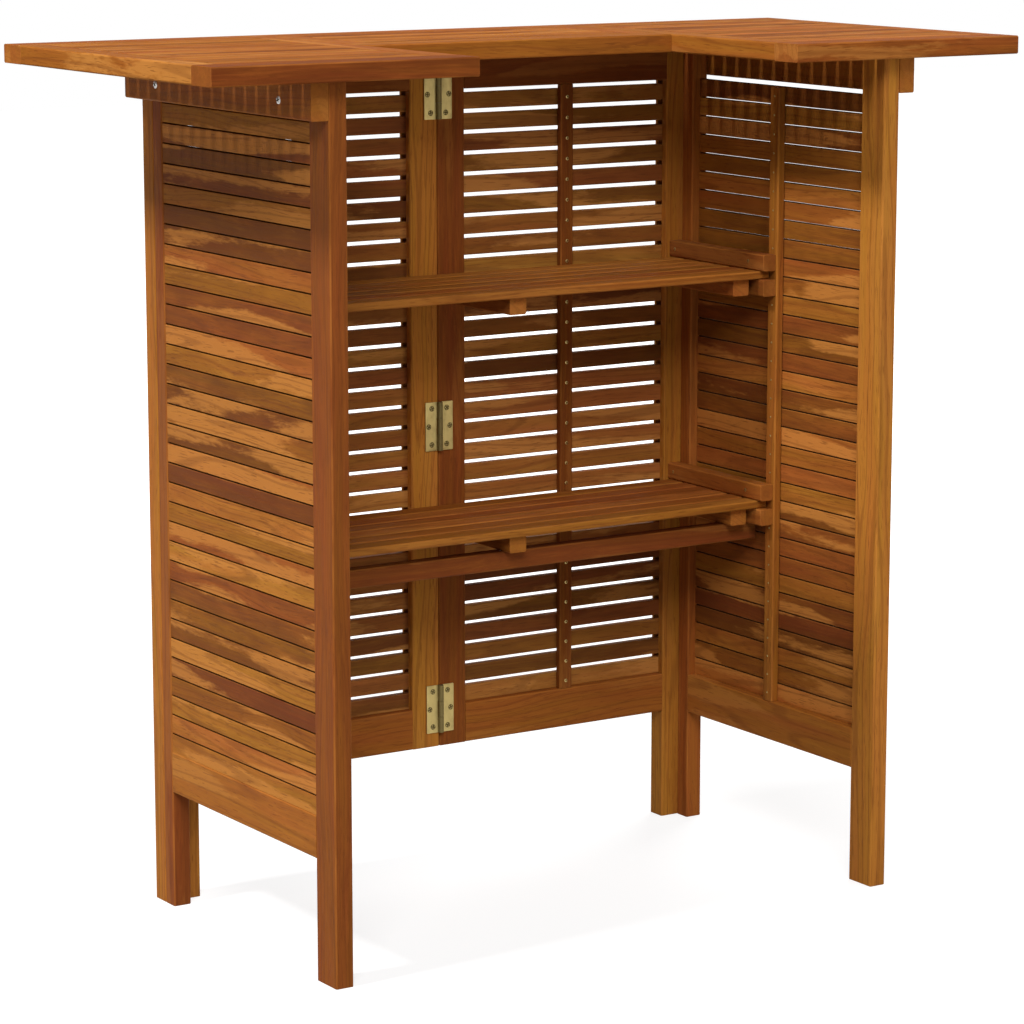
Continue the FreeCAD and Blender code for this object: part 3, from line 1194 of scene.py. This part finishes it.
@dataclass
class TopSection(SubAssembly):
    """One section of the table top: four boards round a field of slats."""

    prefix: str
    end_boards: dict[str, Stock]
    front: Stock
    rear: Stock = Stock((0.35, 0.55))
    slats: Stock = Stock((0.15, 0.75))
    tongue: float = 8.0 * MM
    slat_ease: float = 1.4 * MM

    def build(self) -> None:
        """Make the boards and the slats."""
        for board, stock in (("front_board", self.front), ("rear_board", self.rear)):
            self.timber(Slot.TOP, Timber(f"{self.prefix}_{board}", Axis.X, stock))
        for board, stock in self.end_boards.items():
            self.timber(Slot.TOP, Timber(f"{self.prefix}_{board}", Axis.Y, stock, tongue=self.tongue))
        slats = Timber(f"{self.prefix}_slats", Axis.X, self.slats, self.slat_ease, self.tongue)
        self.timber(Slot.TOP, slats)


@dataclass
class SeamTongues(SubAssembly):
    """Loose tongues inside the seams of the top."""

    node: str = "top_seam_tongues"
    stock: Stock = Stock((0.4, 0.6))
    ease: float = 0.5 * MM

    def build(self) -> None:
        """Make the tongues."""
        self.timber(Slot.TOP, Timber(self.node, Axis.Y, self.stock, self.ease))


@dataclass
class Shelf(SubAssembly):
    """One sliding shelf of slats on three battens."""

    level: str
    slats: Stock = Stock((0.30, 0.80), (0.1, 0.9))
    battens: Stock = Stock((0.40, 0.65))

    def __post_init__(self) -> None:
        """Put the pieces on the shelf's own body."""
        self.body = f"{self.level}_shelf"

    def build(self) -> None:
        """Make the slats and the battens under them."""
        self.timber(Slot.SHELF, Timber(f"{self.body}_slats", Axis.X, self.slats))
        self.timber(Slot.FRAME, Timber(f"{self.body}_battens", Axis.Y, self.battens))


@dataclass
class Guides(SubAssembly):
    """Bars on one wing that hold the ends of both shelves, and the screws that fix them."""

    side: Side
    upper: Stock = Stock((0.18, 0.28))
    lower: Stock = Stock((0.40, 0.55))
    screw: ScrewHead = ScrewHead(2.3 * MM)
    screw_front: float = 33.0 * MM
    screw_rear: float = 12.0 * MM
    screw_spin: float = math.radians(20.0)

    def build(self) -> None:
        """Make the guides and their screws."""
        inward = Vector((-self.side.value, 0.0, 0.0))
        places = []
        for level, stock in (("upper", self.upper), ("lower", self.lower)):
            for part in ("above", "below"):
                node = f"{self.side.prefix}_{level}_guide_{part}"
                self.timber(Slot.SHELF, Timber(node, Axis.Y, stock))
                low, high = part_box(node)
                face_x = min(low.x, high.x, key=abs)
                for y in (low.y + self.screw_front, high.y - self.screw_rear):
                    place = Vector((face_x, y, (low.z + high.z) / 2))
                    places.append(facing(place, inward, self.screw_spin))
        self.fittings(Slot.BRASS, f"{self.side.prefix}_guide_screws", self.screw, places)


@dataclass
class Stretcher(SubAssembly):
    """Bar between the wings, under the lower shelf."""

    node: str = "stretcher"
    stock: Stock = Stock((0.10, 0.14), (0.3, 0.4))

    def build(self) -> None:
        """Make the bar."""
        self.timber(Slot.SHELF, Timber(self.node, Axis.X, self.stock))


@dataclass
class Hinges(SubAssembly):
    """Three butt hinges over the joint of the back leaves, with their pins and screws."""

    pin_node: str = "hinge_pins"
    plate_thickness: float = 2.0 * MM
    plate_corner: float = 1.0 * MM
    corner_segments: int = 4
    rim: float = 0.3 * MM
    plate_segments: int = 2
    barrel_segments: int = 1
    barrel_radius: float = 3.5 * MM
    barrel_shade: float = 0.8
    web_reach: float = 5.8 * MM
    pin_end: float = 0.8 * MM
    pin_segments: int = 3
    screw: ScrewHead = ScrewHead(3.6 * MM, top_tarnish=0.35, rim_tarnish=0.95)
    screw_inset: float = 8.0 * MM
    screw_near: float = 11.0 * MM
    screw_far: float = 15.5 * MM

    def build(self) -> None:
        """Make both sets of leaves, the pins and the screws."""
        for side in Side:
            node = f"hinge_leaves_{side.prefix}"
            bm = copy_of(node)
            space = Box(*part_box(node))
            self.round_plates(bm, space)
            self.round_barrels(bm, space)
            shade = bm.faces.layers.float.new("shade")
            for face in bm.faces:
                on_barrel = all(abs(vert.co.x) < self.web_reach for vert in face.verts)
                face[shade] = self.barrel_shade if on_barrel else 0.0
            self.metal(Slot.BRASS, node, bm)
        self.turned(Slot.PIN, self.pin_node, self.pin_end, self.pin_segments)
        self.screws()

    def round_plates(self, bm: bmesh.types.BMesh, space: Box) -> None:
        """Round the outer corners of the plates, then their front rims.

        Args:
            bm: mesh of the leaves on one side of the joint.
            space: space that they take up together.
        """
        outer = max(space.low.x, space.high.x, key=abs)
        face_y = space.high.y - self.plate_thickness
        corners = []
        for edge in sharp_edges(bm):
            first, second = (vert.co for vert in edge.verts)
            if abs(first.x - outer) < WELD and abs(first.y - second.y) > self.plate_thickness / 2:
                corners.append(edge)
        ease(bm, corners, self.plate_corner, self.corner_segments)
        outline = set()
        for box, verts in solids_in(bm):
            for vert in verts:
                x_gap = abs(vert.co.x - outer)
                z_gap = min(vert.co.z - box.low.z, box.high.z - vert.co.z)
                in_corner = max(x_gap, z_gap) < self.plate_corner + WELD
                if abs(vert.co.y - face_y) < WELD and (in_corner or min(x_gap, z_gap) < WELD):
                    outline.add(vert)
        rims = [edge for edge in sharp_edges(bm) if outline.issuperset(edge.verts)]
        ease(bm, rims, self.rim, self.plate_segments)

    def round_barrels(self, bm: bmesh.types.BMesh, space: Box) -> None:
        """Take the sharp rims off the ends of the knuckles.

        Args:
            bm: mesh of the leaves on one side of the joint.
            space: space that they take up together.
        """
        axis_y = space.low.y + self.barrel_radius
        rims = []
        for edge in sharp_edges(bm):
            radii = [math.hypot(vert.co.x, vert.co.y - axis_y) for vert in edge.verts]
            level = abs(edge.verts[0].co.z - edge.verts[1].co.z) < WELD
            if level and all(abs(radius - self.barrel_radius) < WELD for radius in radii):
                rims.append(edge)
        ease(bm, rims, self.rim, self.barrel_segments)

    def screws(self) -> None:
        """Put three screws into each leaf."""
        chance = random.Random("hinge_screws")
        places = []
        for side in Side:
            for box in solids_of(f"hinge_leaves_{side.prefix}"):
                spread = box.size.z / 2 - self.screw_inset
                face_y = box.high.y - self.plate_thickness
                for rise in (-spread, 0.0, spread):
                    x = self.screw_near if rise else self.screw_far
                    place = Vector((side.value * x, face_y, box.centre.z + rise))
                    places.append(facing(place, FORWARD, chance.uniform(0.0, math.pi)))
        self.fittings(Slot.BRASS, "hinge_screws", self.screw, places)


@dataclass
class CornerBolts(SubAssembly):
    """Hexagon bolts through the back legs into the wings."""

    node: str = "corner_bolts"
    rim: float = 0.4 * MM
    rim_segments: int = 2

    def build(self) -> None:
        """Make the bolts."""
        self.turned(Slot.BOLT, self.node, self.rim, self.rim_segments)


@dataclass(frozen=True)
class Lamp:
    """A soft square lamp that looks at the table."""

    name: str
    place: Triple
    size: float
    power: float
    in_gloss: bool = True
    aim: Triple = (0.0, 0.0, 0.6)

    def build(self) -> None:
        """Hang the lamp."""
        light = bpy.data.lights.new(self.name, "AREA")
        light.shape = "SQUARE"
        light.size = self.size
        light.energy = self.power
        thing = bpy.data.objects.new(self.name, light)
        thing.location = self.place
        look = Vector(self.aim) - Vector(self.place)
        thing.rotation_euler = look.to_track_quat("-Z", "Y").to_euler()
        thing.visible_glossy = self.in_gloss
        bpy.context.scene.collection.objects.link(thing)


@dataclass
class Studio:
    """White floor and surroundings, soft lamps and the camera of the picture."""

    floor_half: float = 12.0
    floor_colour: Colour = (0.40, 0.40, 0.40)
    floor_roughness: float = 0.9
    floor_glow: Span = (0.76, 1.0)
    glow_reach: Span = (0.9, 2.2)
    sky_strength: float = 0.14
    lamps: tuple[Lamp, ...] = (
        Lamp("left_lamp", (-9.8, -0.2, 12.0), 2.0, 1600.0),
        Lamp("front_lamp", (-5.8, -9.6, 9.2), 6.0, 1120.0),
        Lamp("fill_lamp", (3.2, -5.2, 1.6), 3.0, 60.0, in_gloss=False),
        Lamp("rear_lamp", (4.8, 3.8, 2.4), 3.0, 260.0, in_gloss=False),
    )
    sensor: float = 36.0
    lens: float = 130.29
    eye: Triple = (-2.417, -3.7295, 1.300)
    yaw: float = 0.57261
    pitch: float = 0.1830

    def build(self) -> None:
        """Set up the floor, the light and the camera."""
        bpy.context.scene.view_settings.view_transform = "Standard"
        self.build_floor()
        self.build_sky()
        for lamp in self.lamps:
            lamp.build()
        self.build_camera()

    def seen_directly(self, sheet: NodeSheet) -> Socket:
        """Tell the rays that show a surface: from the camera, in a reflection or through glass.

        Args:
            sheet: sheet on the material or the world.

        Returns:
            A mask that is 1 for such a ray.
        """
        path = sheet.add("ShaderNodeLightPath").outputs
        seen = sheet.math("MAXIMUM", path["Is Camera Ray"], path["Is Glossy Ray"])
        return sheet.math("MAXIMUM", seen, path["Is Transmission Ray"])

    def build_floor(self) -> None:
        """Lay a pale floor that goes white where nothing shades it."""
        bm = bmesh.new()
        bmesh.ops.create_grid(bm, x_segments=1, y_segments=1, size=self.floor_half)
        floor = new_object("floor", bm)
        material, sheet, shader = start_material("pale_floor")
        sheet.feed(shader.inputs["Base Color"], rgba(self.floor_colour))
        sheet.feed(shader.inputs["Roughness"], self.floor_roughness)
        sheet.feed(shader.inputs["Specular IOR Level"], 0.0)
        away = sheet.add("ShaderNodeVectorMath", operation="LENGTH")
        sheet.feed(away.inputs[0], sheet.add("ShaderNodeTexCoord").outputs["Object"])
        rise = sheet.step(away.outputs["Value"], *self.glow_reach)
        near, far = self.floor_glow
        glow = sheet.math("MULTIPLY_ADD", rise, far - near, near)
        glow = sheet.math("MULTIPLY", self.seen_directly(sheet), glow)
        sheet.feed(shader.inputs["Emission Color"], rgba(WHITE))
        sheet.feed(shader.inputs["Emission Strength"], glow)
        floor.data.materials.append(material)

    def build_sky(self) -> None:
        """Light the table evenly from all round, in front of a white background."""
        world = bpy.data.worlds.new("white_surround")
        world.use_nodes = True
        bpy.context.scene.world = world
        sheet = NodeSheet(world.node_tree)
        seen = self.seen_directly(sheet)
        strength = sheet.math("MULTIPLY_ADD", seen, 1.0 - self.sky_strength, self.sky_strength)
        back = world.node_tree.nodes["Background"]
        sheet.feed(back.inputs["Color"], rgba(WHITE))
        sheet.feed(back.inputs["Strength"], strength)

    def build_camera(self) -> None:
        """Stand the camera at the viewing angle of the photograph."""
        data = bpy.data.cameras.new("camera")
        data.lens = self.lens
        data.sensor_width = self.sensor
        camera = bpy.data.objects.new("camera", data)
        camera.location = self.eye
        camera.rotation_euler = Euler((math.pi / 2 - self.pitch, 0.0, -self.yaw))
        bpy.context.scene.collection.objects.link(camera)
        bpy.context.scene.camera = camera


def sub_assemblies() -> list[SubAssembly]:
    """List the sub-assemblies of the table in the order of its making.

    Returns:
        The sub-assemblies, not yet built.
    """
    return [
        Wing(
            Side.LEFT,
            front_stile=Stock((0.28, 0.30), (0.3, 0.4), 0.0),
            rear_stile=Stock((0.22, 0.25), (0.1, 0.2)),
        ),
        Wing(
            Side.RIGHT,
            front_stile=Stock((0.82, 0.87), (0.7, 0.8)),
            rear_stile=Stock((0.45, 0.50)),
        ),
        BackLeaf(
            Side.LEFT,
            leg=Stock((0.70, 0.75)),
            hinge_stile=Stock((0.86, 0.90), (0.7, 0.8)),
        ),
        BackLeaf(
            Side.RIGHT,
            leg=Stock((0.72, 0.76), (0.8, 0.9)),
            hinge_stile=Stock((0.22, 0.26), (0.3, 0.4)),
        ),
        Hinges(),
        CornerBolts(),
        TopSection(
            "left_top",
            {"inner_board": Stock((0.50, 0.55)), "outer_board": Stock((0.45, 0.50), (0.6, 0.7), 1.8)},
            front=Stock((0.16, 0.18), (0.1, 0.2), 0.0),
        ),
        TopSection(
            "right_top",
            {"inner_board": Stock((0.50, 0.55)), "outer_board": Stock((0.45, 0.55))},
            front=Stock((0.30, 0.32), (0.2, 0.3)),
        ),
        TopSection(
            "middle_top",
            {"left_board": Stock((0.55, 0.60)), "right_board": Stock((0.45, 0.50))},
            front=Stock((0.45, 0.48), (0.7, 0.8)),
        ),
        SeamTongues(),
        Guides(Side.LEFT),
        Guides(Side.RIGHT),
        Shelf("upper"),
        Shelf("lower"),
        Stretcher(),
    ]


def main() -> None:
    """Build the studio, the finishes and every sub-assembly of the table."""
    logging.basicConfig(level=logging.INFO, format="%(message)s")
    Studio().build()
    grain = WoodGrain().build()
    wear = MetalWear().build()
    finishes = {finish.slot: finish.material(grain) for finish in WOOD_FINISHES}
    finishes.update({finish.slot: finish.material(wear) for finish in METAL_FINISHES})
    for assembly in sub_assemblies():
        assembly.build()
        assembly.dress(finishes)


if __name__ == "__main__":
    main()
